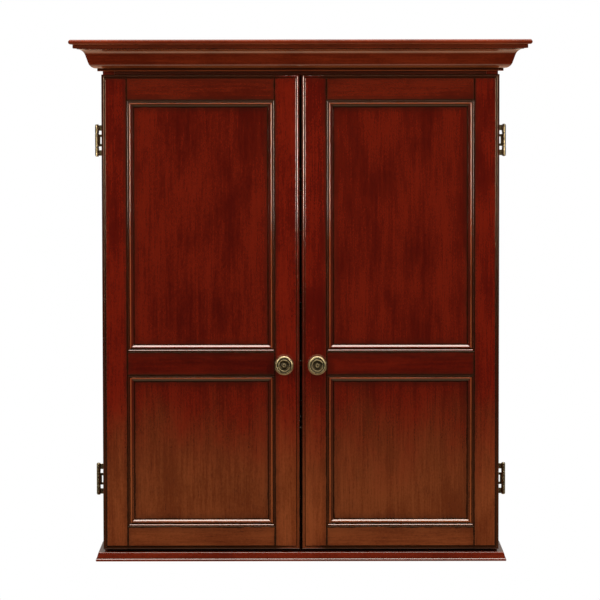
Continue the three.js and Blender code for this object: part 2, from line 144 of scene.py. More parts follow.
FLOOR_BELOW_BULL = 1.73  # the height at which a bull is hung
FLOOR_RADIUS = 7.0


def add_floor():
    """A pale floor that fades out towards its rim. It lights the object from straight below, not from in
    front."""
    floor_paint, tree = new_material("pale_floor")
    place = place_of(tree)
    radius = node(tree, "ShaderNodeVectorMath", {0: place}, operation="LENGTH").outputs["Value"]
    finish(floor_paint, {
        "Base Color": (0.86, 0.85, 0.83, 1),
        "Roughness": 0.8,
        "Emission Color": (1, 0.99, 0.97, 1),
        "Emission Strength": 0.55,
        "Alpha": spread(tree, radius, 0.45 * FLOOR_RADIUS, FLOOR_RADIUS, 1.0, 0.0),
    })
    strength = spread(tree, parts_of(tree, place)["Y"], -1.5, -0.6, 0.02, 1.55)
    glow = node(tree, "ShaderNodeEmission", {"Color": AMBER + (1,), "Strength": strength})
    path = node(tree, "ShaderNodeLightPath")
    shaders = {0: path.outputs["Is Camera Ray"], 1: glow, 2: tree.nodes["Principled BSDF"]}
    mixed = node(tree, "ShaderNodeMixShader", shaders)
    tree.links.new(mixed.outputs[0], tree.nodes["Material Output"].inputs["Surface"])
    mesh = bpy.data.meshes.new("floor")
    bm = bmesh.new()
    bmesh.ops.create_circle(bm, cap_ends=True, segments=128, radius=FLOOR_RADIUS)
    bm.to_mesh(mesh)
    bm.free()
    mesh.materials.append(floor_paint)
    floor = bpy.data.objects.new("floor", mesh)
    floor.location = (0, 0, -FLOOR_BELOW_BULL)
    bpy.context.scene.collection.objects.link(floor)


# ---- Nodes of a material --------------------------------------------------------------------
def node(tree, kind, inputs=None, **settings):
    """Adds a node. An input is a number, a colour, another node's socket, or a node's first output."""
    made = tree.nodes.new(kind)
    for key, value in settings.items():
        setattr(made, key, value)
    for key, value in (inputs or {}).items():
        if isinstance(value, bpy.types.Node):
            value = value.outputs[0]
        if isinstance(value, bpy.types.NodeSocket):
            tree.links.new(value, made.inputs[key])
        else:
            made.inputs[key].default_value = value
    return made


def calc(tree, operation, a, b=0.0):
    return node(tree, "ShaderNodeMath", {0: a, 1: b}, operation=operation).outputs[0]


def mix(tree, factor, a, b):
    """A colour between two colours."""
    return node(tree, "ShaderNodeMix", {0: factor, 6: a, 7: b}, data_type="RGBA").outputs[2]


def spread(tree, value, low, high, to_low=0.0, to_high=1.0):
    """Moves a value from one range to another, smoothly and clamped."""
    inputs = {"Value": value, 1: low, 2: high, 3: to_low, 4: to_high}
    return node(tree, "ShaderNodeMapRange", inputs, interpolation_type="SMOOTHSTEP").outputs[0]


def noise(tree, vector, scale, detail=4.0, roughness=0.55, distortion=0.0):
    inputs = {"Vector": vector, "Scale": scale, "Detail": detail}
    inputs.update({"Roughness": roughness, "Distortion": distortion})
    return node(tree, "ShaderNodeTexNoise", inputs).outputs["Fac"]


def place_of(tree):
    """Coordinates of the piece itself, which move with it."""
    return node(tree, "ShaderNodeTexCoord").outputs["Object"]


def parts_of(tree, vector):
    """The X, Y and Z of a vector."""
    return node(tree, "ShaderNodeSeparateXYZ", {0: vector}).outputs


def stretched(tree, scale=(1, 1, 1), shift=(0, 0, 0)):
    inputs = {"Vector": place_of(tree), "Scale": scale, "Location": shift}
    return node(tree, "ShaderNodeMapping", inputs).outputs[0]


def bump(tree, height, distance):
    """A normal for a surface that stands up to the given distance above its mesh."""
    return node(tree, "ShaderNodeBump", {"Height": height, "Distance": distance, "Strength": 1.0}).outputs[0]


def glaze_of(tree):
    """The value stored on the mesh: dark glaze and painted shade above zero, wear and painted sheen below."""
    return node(tree, "ShaderNodeAttribute", attribute_name="glaze").outputs["Fac"]


def new_material(name):
    material = bpy.data.materials.new(name)
    material.use_nodes = True
    return material, material.node_tree


def finish(material, inputs):
    """Sets the shader's inputs, each a number, a colour or another node's socket."""
    tree = material.node_tree
    shader = tree.nodes["Principled BSDF"].inputs
    for key, value in inputs.items():
        if isinstance(value, bpy.types.NodeSocket):
            tree.links.new(value, shader[key])
        else:
            shader[key].default_value = value
    return material


# ---- Materials --------------------------------------------------------------------------------
# The dark colour serves for glaze in hollows and joints and for painted shade; the rubbed colour serves for
# worn edges and for painted sheen.
GLAZE_AND_PAINTED_SHADE = (0.012, 0.006, 0.003, 1)
RUBBED_AND_PAINTED_SHEEN = (0.29, 0.085, 0.028, 1)
PORE = (0.020, 0.003, 0.001, 1)
PATINA = (0.020, 0.013, 0.007, 1)


def grain_of(tree, along, shift):
    """Streaks and blotches drawn out along an axis, the pores, and the tone that they add up to."""
    def fibres(squeeze, scale, detail, roughness, distortion=0.0):
        scales = [squeeze if axis == along else 1.0 for axis in "xyz"]
        space = stretched(tree, scales, (shift, 1.7 * shift, 0.6 * shift))
        return noise(tree, space, scale, detail, roughness, distortion)

    streaks = fibres(0.045, 300.0, 6.0, 0.65, 0.25)
    bands = fibres(0.09, 42.0, 3.0, 0.5, 0.5)
    blotches = fibres(0.5, 17.0, 5.0, 0.6)
    speckle = fibres(0.6, 420.0, 3.0, 0.6)
    pores = spread(tree, fibres(0.03, 1500.0, 2.0, 0.5), 0.62, 0.72)
    tone = 0.0
    for part, weight in ((bands, 0.20), (streaks, 0.27), (blotches, 0.35), (speckle, 0.18)):
        tone = calc(tree, "ADD", calc(tree, "MULTIPLY", part, weight), tone)
    return streaks, blotches, pores, spread(tree, tone, 0.405, 0.595)


def wood(name, along, shift=0.0, shade=1.0, brown=(0.0, 1.0), edge=None, reach=0.015, top=1.0, coat=1.0,
         satin=0.0, specular=0.3, back=None):
    """Mahogany stained red-brown under gloss lacquer. The mesh's value of glaze and painted light says where
    dark glaze is left in a hollow or a joint and where painted shade lies, and, below zero, where the stain
    is rubbed through on a worn edge and where a painted sheen lightens the crown, the cap's nose and the
    beads' crests. along is the axis of the grain, brown is the share of brown at the top and at the foot; the
    brown that rises towards the foot is painted light, a lighter, warmer sheen low down. edge is the
    rectangle (x0, x1, z0, z1) of a flat that darkens towards its rim with a dark line and painted shade, over
    the distance reach, and over that distance divided by top at its upper rim. coat is the weight of the
    lacquer's own gloss, satin is added to its roughness, specular is the level of its reflections, and behind
    the depth back the wood is only oiled."""
    material, tree = new_material(name)
    streaks, blotches, pores, tone = grain_of(tree, along, shift)
    place = parts_of(tree, place_of(tree))
    drift = calc(tree, "MULTIPLY", calc(tree, "SUBTRACT", blotches, 0.5), 0.22)
    # Umber rises towards the foot, blotched: painted light, a lighter and warmer sheen on the lower part.
    low = spread(tree, calc(tree, "ADD", place["Z"], drift), -0.12, -0.32, *brown)

    def stain(*colour):
        return tuple(shade * c for c in colour) + (1,)

    red = mix(tree, tone, stain(0.056, 0.0018, 0.0005), stain(0.120, 0.0068, 0.0017))
    umber_and_painted_sheen = mix(tree, tone, stain(0.100, 0.0200, 0.0050), stain(0.172, 0.0430, 0.0125))
    colour = mix(tree, low, red, umber_and_painted_sheen)
    colour = mix(tree, calc(tree, "MULTIPLY", pores, 0.45), colour, PORE)
    glaze = glaze_of(tree)
    # Below zero: stain rubbed through on worn edges, and painted sheen on the crown, the cap's nose and the
    # beads' crests.
    below_zero = calc(tree, "MAXIMUM", calc(tree, "MULTIPLY", glaze, -1.0), 0.0)
    rubbed_and_painted_sheen = calc(tree, "MULTIPLY", below_zero, spread(tree, blotches, 0.30, 0.55, 0.45, 1.0))
    colour = mix(tree, rubbed_and_painted_sheen, colour, RUBBED_AND_PAINTED_SHEEN)
    # Painted shade along a flat's rim, on the faces that look to the front or the back.
    if edge:
        normal = parts_of(tree, node(tree, "ShaderNodeTexCoord").outputs["Normal"])
        facing = spread(tree, calc(tree, "ABSOLUTE", normal["Y"]), 0.05, 0.25)
        glaze = calc(tree, "MAXIMUM", glaze, calc(tree, "MULTIPLY", rim_of(tree, edge, reach, top), facing))
    # Towards the dark colour: glaze in hollows and joints, and painted shade.
    colour = mix(tree, spread(tree, glaze, 0.0, 1.0, 0.0, 0.93), colour, GLAZE_AND_PAINTED_SHADE)
    dull = spread(tree, glaze, 0.4, 0.9)
    roughness = spread(tree, streaks, 0.3, 0.7, 0.20 + satin, 0.14 + satin)
    if back is not None:
        behind = spread(tree, place["Y"], back - 1.0 * MM, back)
        dull = calc(tree, "MAXIMUM", dull, behind)
        roughness = calc(tree, "ADD", roughness, calc(tree, "MULTIPLY", behind, 0.36))
    return finish(material, {
        "Base Color": colour,
        "Roughness": roughness,
        "Specular IOR Level": specular,
        "Specular Tint": (1, 0.68, 0.42, 1),
        "Normal": bump(tree, streaks, 0.012 * MM),
        "Coat Weight": spread(tree, dull, 0.0, 1.0, coat, 0.0),
        "Coat Roughness": 0.07,
        "Coat IOR": 1.75,
        "Coat Normal": bump(tree, noise(tree, stretched(tree), 120.0, 2.0), 0.03 * MM),
    })


def rim_of(tree, edge, reach, top):
    """Along the rim of a flat: a dark line, the glaze of the joint, then painted shade that fades inwards."""
    x0, x1, z0, z1 = edge
    place = parts_of(tree, place_of(tree))
    x, z = place["X"], place["Z"]
    inside = [calc(tree, "SUBTRACT", x, x0), calc(tree, "SUBTRACT", x1, x), calc(tree, "SUBTRACT", z, z0)]
    # With top below one the upper rim counts as nearer, so its painted shadow reaches further down.
    near = calc(tree, "MULTIPLY", calc(tree, "SUBTRACT", z1, z), top)
    for distance in inside:
        near = calc(tree, "MINIMUM", near, distance)
    uneven = calc(tree, "SUBTRACT", noise(tree, stretched(tree), 60.0), 0.5)
    near = calc(tree, "SUBTRACT", near, calc(tree, "MULTIPLY", uneven, 0.25 * reach))
    line = spread(tree, near, 0.0020, 0.0004)
    # Painted shade that fades inwards from the rim.
    shadow = spread(tree, near, reach, 0.0, 0.0, 0.36)
    return calc(tree, "MAXIMUM", line, shadow)


def plain_ply(name, colour, along="z"):
    """Rotary-cut veneer or softwood: fine fibres over a faint, drawn-out figure, nearly matt."""
    material, tree = new_material(name)

    def fibres(squeeze, scale, detail, distortion):
        space = stretched(tree, [squeeze if axis == along else 1.0 for axis in "xyz"])
        return noise(tree, space, scale, detail, 0.6, distortion)

    fine = fibres(0.02, 520.0, 5.0, 0.1)
    figure = fibres(0.12, 26.0, 5.0, 1.8)
    rings = calc(tree, "FRACT", calc(tree, "MULTIPLY", figure, 7.0))
    rings = spread(tree, calc(tree, "ABSOLUTE", calc(tree, "SUBTRACT", rings, 0.5)), 0.05, 0.5)
    tone = calc(tree, "ADD", calc(tree, "MULTIPLY", fine, 0.6), calc(tree, "MULTIPLY", rings, 0.28))
    tone = calc(tree, "ADD", tone, calc(tree, "MULTIPLY", figure, 0.3))
    dark = tuple(0.62 * c for c in colour) + (1,)
    light = tuple(1.18 * c for c in colour) + (1,)
    return finish(material, {
        "Base Color": mix(tree, spread(tree, tone, 0.30, 0.80), dark, light),
        "Roughness": spread(tree, fine, 0.3, 0.7, 0.78, 0.62),
        "Normal": bump(tree, fine, 0.12 * MM),
    })


def aged_brass():
    """Brass with a brown patina that stays in the recesses."""
    material, tree = new_material("aged_brass")
    cloud = noise(tree, stretched(tree), 130.0, 5.0, 0.6)
    scratches = noise(tree, stretched(tree, (1, 1, 0.15)), 900.0, 3.0)
    colour = mix(tree, spread(tree, cloud, 0.34, 0.66), (0.20, 0.155, 0.080, 1), (0.40, 0.33, 0.195, 1))
    return finish(material, {
        "Base Color": mix(tree, calc(tree, "MINIMUM", glaze_of(tree), 0.95), colour, PATINA),
        "Metallic": 1.0,
        "Roughness": spread(tree, cloud, 0.35, 0.7, 0.34, 0.24),
        "Normal": bump(tree, scratches, 0.008 * MM),
    })


def metal(name, colour, roughness, metallic=1.0):
    """Plated or bare metal, a little cloudy."""
    material, tree = new_material(name)
    cloud = noise(tree, stretched(tree), 300.0)
    dark = tuple(0.72 * c for c in colour) + (1,)
    return finish(material, {
        "Base Color": mix(tree, cloud, dark, colour + (1,)),
        "Metallic": metallic,
        "Roughness": spread(tree, cloud, 0.3, 0.7, 0.8 * roughness, 1.3 * roughness),
        "Normal": bump(tree, cloud, 0.04 * MM),
    })


def paint(name, colour, roughness):
    """Paint or moulded plastic with a fine texture."""
    material, tree = new_material(name)
    fine = noise(tree, stretched(tree), 700.0, 3.0)
    broad = noise(tree, stretched(tree), 25.0)
    light = tuple(1.6 * c + 0.004 for c in colour) + (1,)
    return finish(material, {
        "Base Color": mix(tree, spread(tree, broad, 0.35, 0.7), colour + (1,), light),
        "Roughness": spread(tree, broad, 0.3, 0.7, 0.85 * roughness, 1.15 * roughness),
        "Normal": bump(tree, fine, 0.06 * MM),
    })


def cork():
    """Pressed cork granules."""
    material, tree = new_material("cork")
    space = stretched(tree)
    wobble = noise(tree, space, 160.0, 2.0)
    push = calc(tree, "MULTIPLY", wobble, 0.004)
    moved = node(tree, "ShaderNodeVectorMath", {0: space, 1: wobble, 2: push}, operation="MULTIPLY_ADD")
    cells = node(tree, "ShaderNodeTexVoronoi", {"Vector": moved, "Scale": 330.0})
    granule = node(tree, "ShaderNodeSeparateColor", {0: cells.outputs["Color"]}).outputs["Red"]
    rims = node(tree, "ShaderNodeTexVoronoi", {"Vector": moved, "Scale": 330.0}, feature="DISTANCE_TO_EDGE")
    colour = mix(tree, granule, (0.26, 0.135, 0.060, 1), (0.60, 0.39, 0.205, 1))
    specks = spread(tree, noise(tree, space, 420.0, 3.0), 0.60, 0.68)
    colour = mix(tree, calc(tree, "MULTIPLY", specks, 0.8), colour, (0.075, 0.034, 0.016, 1))
    between = spread(tree, rims.outputs["Distance"], 0.10, 0.0, 0.0, 0.5)
    return finish(material, {
        "Base Color": mix(tree, between, colour, (0.12, 0.06, 0.03, 1)),
        "Roughness": 0.9,
        "Normal": bump(tree, rims.outputs["Distance"], 0.6 * MM),
    })


def chalkboard(name, edge):
    """Black chalk paint with wiped chalk and thin printed lines: a heading and a middle column."""
    x0, x1, z0, z1 = edge
    material, tree = new_material(name)
    place = parts_of(tree, place_of(tree))
    wiped = noise(tree, stretched(tree, (1.0, 1.0, 0.25), (3, 0, 1)), 16.0, 6.0, 0.7, 1.2)
    dust = noise(tree, stretched(tree), 260.0, 4.0, 0.7)
    haze = calc(tree, "MULTIPLY", spread(tree, wiped, 0.42, 0.75, 0.0, 0.5), dust)
    colour = mix(tree, haze, (0.012, 0.014, 0.013, 1), (0.16, 0.17, 0.165, 1))
    middle, half_column, half_line = (x0 + x1) / 2, 22 * MM, 0.6 * MM
    line = 0.0
    for axis, at in (("X", middle - half_column), ("X", middle + half_column),
                     ("Z", z1 - 52 * MM), ("Z", z0 + 30 * MM)):
        away = calc(tree, "ABSOLUTE", calc(tree, "SUBTRACT", place[axis], at))
        line = calc(tree, "MAXIMUM", line, spread(tree, away, half_line + 0.3 * MM, half_line))
    printed = calc(tree, "MULTIPLY", line, spread(tree, dust, 0.2, 0.5, 0.55, 0.9))
    return finish(material, {
        "Base Color": mix(tree, printed, colour, (0.62, 0.62, 0.58, 1)),
        "Roughness": 0.82,
        "Normal": bump(tree, dust, 0.12 * MM),
    })


SECTOR = math.radians(18)
BULL_RADII = (7.0 * MM, 16.5 * MM)
TREBLE_RADII = (99.6 * MM, 107.6 * MM)
DOUBLE_RADII = (162.6 * MM, 170.6 * MM)


def sisal():
    """Ends of dyed fibre bundles, in twenty sectors of 18 degrees with doubles, trebles and the bull."""
    material, tree = new_material("sisal")
    coordinates = place_of(tree)
    place = parts_of(tree, coordinates)
    x, z = place["X"], place["Z"]
    squares = calc(tree, "ADD", calc(tree, "MULTIPLY", x, x), calc(tree, "MULTIPLY", z, z))
    radius = calc(tree, "SQRT", squares)
    turns = calc(tree, "DIVIDE", calc(tree, "ARCTAN2", x, z), SECTOR)
    sector = calc(tree, "FLOOR", calc(tree, "ADD", turns, 20.5))
    odd = calc(tree, "FRACT", calc(tree, "MULTIPLY", sector, 0.5))
    odd = calc(tree, "GREATER_THAN", odd, 0.25)
    bundles = node(tree, "ShaderNodeTexVoronoi", {"Vector": coordinates, "Scale": 620.0})
    tint = node(tree, "ShaderNodeSeparateColor", {0: bundles.outputs["Color"]}).outputs["Green"]
    broad = noise(tree, coordinates, 22.0, 4.0)

    def dyed(dark, light):
        share = calc(tree, "MULTIPLY", calc(tree, "ADD", tint, broad), 0.55)
        return mix(tree, share, dark + (1,), light + (1,))

    black = dyed((0.010, 0.010, 0.010), (0.038, 0.036, 0.034))
    cream = dyed((0.42, 0.34, 0.20), (0.86, 0.78, 0.58))
    red = dyed((0.28, 0.012, 0.010), (0.62, 0.045, 0.030))
    green = dyed((0.006, 0.075, 0.028), (0.020, 0.220, 0.085))

    def within(low, high):
        above = calc(tree, "GREATER_THAN", radius, low)
        return calc(tree, "MULTIPLY", above, calc(tree, "LESS_THAN", radius, high))

    colour = mix(tree, odd, black, cream)
    scoring = mix(tree, odd, red, green)
    for low, high in (TREBLE_RADII, DOUBLE_RADII):
        colour = mix(tree, within(low, high), colour, scoring)
    colour = mix(tree, calc(tree, "GREATER_THAN", radius, DOUBLE_RADII[1]), colour, black)
    colour = mix(tree, calc(tree, "LESS_THAN", radius, BULL_RADII[1]), colour, green)
    colour = mix(tree, calc(tree, "LESS_THAN", radius, BULL_RADII[0]), colour, red)
    return finish(material, {
        "Base Color": colour,
        "Roughness": 0.93,
        "Sheen Weight": 0.15,
        "Specular IOR Level": 0.15,
        "Normal": bump(tree, bundles.outputs["Distance"], 0.3 * MM),
    })


# ---- Meshes -----------------------------------------------------------------------------------
class Shell:
    """Gathers the vertices and faces of one piece, with a value of glaze and painted light for each vertex.
    """

    def __init__(self):
        self.bm = bmesh.new()
        self.glaze = self.bm.verts.layers.float.new("glaze")

    def vertex(self, place, glaze=0.0):
        made = self.bm.verts.new(place)
        made[self.glaze] = glaze
        return made

    def face(self, vertices, slot=0):
        distinct = list(dict.fromkeys(vertices))
        if len(distinct) > 2:
            self.bm.faces.new(distinct).material_index = slot

    def loft(self, rings, glazes_and_painted_light=None, wrap_profile=True, wrap_path=False, slots=None, caps=True):
        """Joins copies of one profile, a list of points each, into a skin."""
        count = len(rings[0])
        glazes_and_painted_light = glazes_and_painted_light or [0.0] * count
        made = [[self.vertex(p, g) for p, g in zip(ring, glazes_and_painted_light)] for ring in rings]
        steps = len(rings) if wrap_path else len(rings) - 1
        for i in range(steps):
            near, far = made[i], made[(i + 1) % len(made)]
            for k in range(count if wrap_profile else count - 1):
                after = (k + 1) % count
                self.face((near[k], far[k], far[after], near[after]), slots[i] if slots else 0)
        if caps and not wrap_path:
            self.face(made[0])
            self.face(made[-1])
        return made

    def turn(self, profile, centre, axis, steps, glazes_and_painted_light=None):
        """Turns a profile of (radius, distance along axis) round the axis."""
        axis = Vector(axis)
        side = axis.orthogonal().normalized()
        rings = []
        for i in range(steps):
            out = Matrix.Rotation(2 * math.pi * i / steps, 3, axis) @ side
            rings.append([Vector(centre) + out * r + axis * a for r, a in profile])
        closed = profile[0][0] > 1e-9
        self.loft(rings, glazes_and_painted_light, wrap_profile=closed, wrap_path=True)

    def piece(self, name, materials, body, replaces=(), crease=35.0):
        """The finished object, riding on its body. Edges sharper than crease, in degrees, stay sharp."""
        bmesh.ops.remove_doubles(self.bm, verts=self.bm.verts, dist=1e-7)
        bmesh.ops.recalc_face_normals(self.bm, faces=self.bm.faces)
        mesh = bpy.data.meshes.new(name)
        self.bm.to_mesh(mesh)
        self.bm.free()
        for material in materials if isinstance(materials, (list, tuple)) else [materials]:
            mesh.materials.append(material)
        mesh.shade_smooth()
        mesh.set_sharp_from_angle(angle=math.radians(crease))
        made = bpy.data.objects.new(name, mesh)
        bpy.context.scene.collection.objects.link(made)
        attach(made, body)
        if replaces:
            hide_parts(*replaces)


def arc(centre, radii, start, end, steps):
    """Points along an arc of an ellipse, from one angle in degrees to another."""
    angles = [math.radians(start + (end - start) * i / steps) for i in range(steps + 1)]
    return [(centre[0] + radii[0] * math.cos(a), centre[1] + radii[1] * math.sin(a)) for a in angles]


def glazed(points, glaze):
    """Points of a profile, each with the same value of glaze and painted light."""
    return [(*point, glaze) for point in points]


def dress(node_name, material, ease=0.0):
    """Gives a CAD node its material and eased edges. ease is in millimetres."""
    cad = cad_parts[node_name]
    cad.data.materials.clear()
    cad.data.materials.append(material)
    if ease:
        modifier = cad.modifiers.new("eased_edges", "BEVEL")
        modifier.width = ease * MM
        modifier.segments = 3
        modifier.limit_method = "ANGLE"
        modifier.angle_limit = math.radians(30)
        modifier.harden_normals = True
        modifier.use_clamp_overlap = True


# ---- Crown and base -----------------------------------------------------------------------------
CARCASS_X = span("side_panel_right")[0][1]
CARCASS_Y = span("side_panel_right")[1][0]


def path_round(front_y):
    """The corners that a moulding runs round, wall to wall, each with its outward mitre direction."""
    return (
        (Vector((-CARCASS_X, 0, 0)), Vector((-1, 0, 0))),
        (Vector((-CARCASS_X, front_y, 0)), Vector((-1, -1, 0))),
        (Vector((CARCASS_X, front_y, 0)), Vector((1, -1, 0))),
        (Vector((CARCASS_X, 0, 0)), Vector((1, 0, 0))),
    )


def crown_profile():
    """(out, up, glaze and painted light) in millimetres: a foot, a round, a hollow and a head. Closed behind.
    The faces on which the foot sits and on which the cap lies, the foot's face and the round's lowest point
    carry painted shade; most of the round and the hollow carry painted sheen, drawn as rubbed stain.
    """
    foot, foot_height, head, height = 8.2, 4.3, 38.5, 35.2
    radius, steepest = 13.2, 20
    points = [(0.1, 0.0, 0.8), (foot - 0.9, 0.0, 0.5)]
    points += glazed(arc((foot - 0.9, 0.9), (0.9, 0.9), -90, 0, 4), -0.4)
    foot_face = ((2.8, 0.6), (1.6, 0.75), (0.5, 0.75), (0.0, 0.9))
    points += [(foot, foot_height - down, glaze) for down, glaze in foot_face]
    rounded = arc((foot + 1.0, foot_height + radius), (radius, radius), -90, -steepest, 16)
    hollow = arc((head, height - 0.8 - radius), (radius, radius), 180 - steepest, 90, 16)
    # Painted shade on the round's lowest point, then painted sheen, drawn as rubbed stain, over most of the
    # round.
    glazes_and_painted_light = [0.7, -0.3] + 7 * [-0.9] + 2 * [-0.4] + 6 * [0.0]
    points += [(x, z, glaze) for (x, z), glaze in zip(rounded, glazes_and_painted_light)]
    # The hollow is painted lighter upward from near its lowest part: painted sheen.
    points += [(x, z, -0.52 * min(1.0, i / 5)) for i, (x, z) in enumerate(hollow)]
    points += [(head, height, 0.8), (0.1, height, 0.8)]
    return points


def build_crown(materials):
    z0 = span("crown_front")[2][0]
    profile = crown_profile()
    glazes_and_painted_light = [g for _, _, g in profile]
    corners = path_round(CARCASS_Y)
    mitre_gap = 0.12 * MM
    for name, i, along in (("crown_left", 0, "y"), ("crown_front", 1, "x"), ("crown_right", 2, "y")):
        (start, start_out), (end, end_out) = corners[i], corners[i + 1]
        forward = (end - start).normalized()
        rings = []
        for corner, out, inward in ((start, start_out, forward), (end, end_out, -forward)):
            mitred = abs(out.x) + abs(out.y) > 1.5
            shift = inward * mitre_gap if mitred else Vector()
            rings.append([corner + shift + out * x * MM + Z * (z0 + z * MM) for x, z, _ in profile])
        shell = Shell()
        shell.loft(rings, glazes_and_painted_light)
        shell.piece(name + "_moulding", materials[along], "carcass", [name], crease=28)


def moulded_board(name, node_name, profile, front_y, material):
    """A board whose front and two ends carry a moulded edge: (out, up, glaze) in millimetres."""
    z0 = span(node_name)[2][0]
    rings = [[corner + out * x * MM + Z * (z0 + z * MM) for x, z, _ in profile]
             for corner, out in path_round(front_y)]
    shell = Shell()
    made = shell.loft(rings, [g for _, _, g in profile], wrap_profile=False, caps=False)
    shell.face([ring[0] for ring in made])
    shell.face([ring[-1] for ring in made])
    shell.face(made[0] + made[-1][::-1])
    shell.piece(name, material, "carcass", [node_name], crease=28)


def build_cap(material):
    thickness, fillet, nose, radius = 13.5, 44.5, 51.0, 3.7
    centre = (nose - radius, thickness - radius)
    curve = arc(centre, (radius, radius), -90, 90, 18)
    # The underside and the fillet's face under the nose are darkened: painted shade. The nose's lower round
    # is rubbed lighter: painted sheen.
    profile = [(30.0, 0.0, 0.7), (fillet - 0.6, 0.0, 0.3)]
    profile += glazed(arc((fillet - 0.6, 0.6), (0.6, 0.6), -90, 0, 3), 0.0)
    under = centre[1] - radius
    profile += [(fillet, 1.6, 0.6), (fillet, under - 1.2, 0.35), (fillet, under, -0.5)]
    profile += glazed(curve[:5], -0.5) + glazed(curve[5:], 0.0)
    profile += [(nose - 12.0, thickness, 0.0)]
    moulded_board("crown_cap_board", "crown_cap", profile, CARCASS_Y, material)


def build_base(material):
    thickness, ledge, lip, lip_top, radius = 14.0, 8.8, 12.7, 4.0, 1.6
    profile = [(-20.0, 0.0, 0.2)]
    profile += [(x, z, 0.0) for x, z in arc((lip - radius, radius), (radius, radius), -90, 0, 6)]
    profile += [(x, z, 0.0) for x, z in arc((lip - 1.5, lip_top - 1.5), (1.5, 1.5), 0, 60, 6)]
    profile += [(lip - 1.1, lip_top + 0.35, 0.9), (lip - 1.45, lip_top + 1.2, 0.1)]
    slope = (thickness - 1.1 - lip_top - 1.2) / (lip - 1.45 - ledge)
    profile += [(ledge + 1.1 / slope, thickness - 1.1, 0.0)]
    profile += [(x, z, 0.0) for x, z in arc((ledge - 1.0, thickness - 1.1), (1.1, 1.1), 20, 90, 5)]
    # The top behind the doors' front darkens towards the back, under the doors: painted shade.
    profile += [(-1.0, thickness, 0.5), (-20.0, thickness, 0.6)]
    front_y = span("rail_bottom_left")[1][0]
    moulded_board("base_board_moulded", "base_board", profile, front_y, material)


# ---- Doors --------------------------------------------------------------------------------------
def edge_profile():
    """(distance from the door's edge, depth behind its face, glaze), in millimetres: a broad round and a
    quirk."""
    points = [(0.0, 5.6, 0.2), (0.08, 4.5, 0.1), (0.4, 3.6, 0.0), (1.0, 2.95, 0.0)]
    points += [(d, 4.2 - c, -0.45) for d, c in arc((4.9, -2.9), (5.6, 5.6), 127, 96, 6)]
    points += [(4.6, 1.85, 0.9), (4.95, 2.0, 1.0), (5.3, 1.55, 1.0), (5.55, 0.8, 0.6)]
    return points + [(6.0, 0.22, 0.0), (6.7, 0.0, 0.0), (6.8, 0.0, 0.0)]


PAINTED_SHADE_EDGE = (1.2, 6.75)  # the distances between which the door's outer edges carry painted shade
MEETING = 8.5  # the half width of the strip where the doors meet, whose edges are left without that painted shade
EASE = ((0.0, 0.35, 1.0), (0.12, 0.14, 1.0), (0.30, 0.0, 0.8), (0.36, 0.0, 0.6), (1.1, 0.0, 0.0))


def height_at(distance, table):
    """Depth and glaze at a distance from an edge, from a table of (distance, depth, glaze) in millimetres."""
    if distance >= table[-1][0]:
        return 0.0, 0.0
    for (d0, y0, g0), (d1, y1, g1) in zip(table, table[1:]):
        if distance <= d1 + 1e-9:
            t = min(max((distance - d0) / (d1 - d0), 0.0), 1.0)
            return y0 + t * (y1 - y0), g0 + t * (g1 - g0)
    return 0.0, 0.0


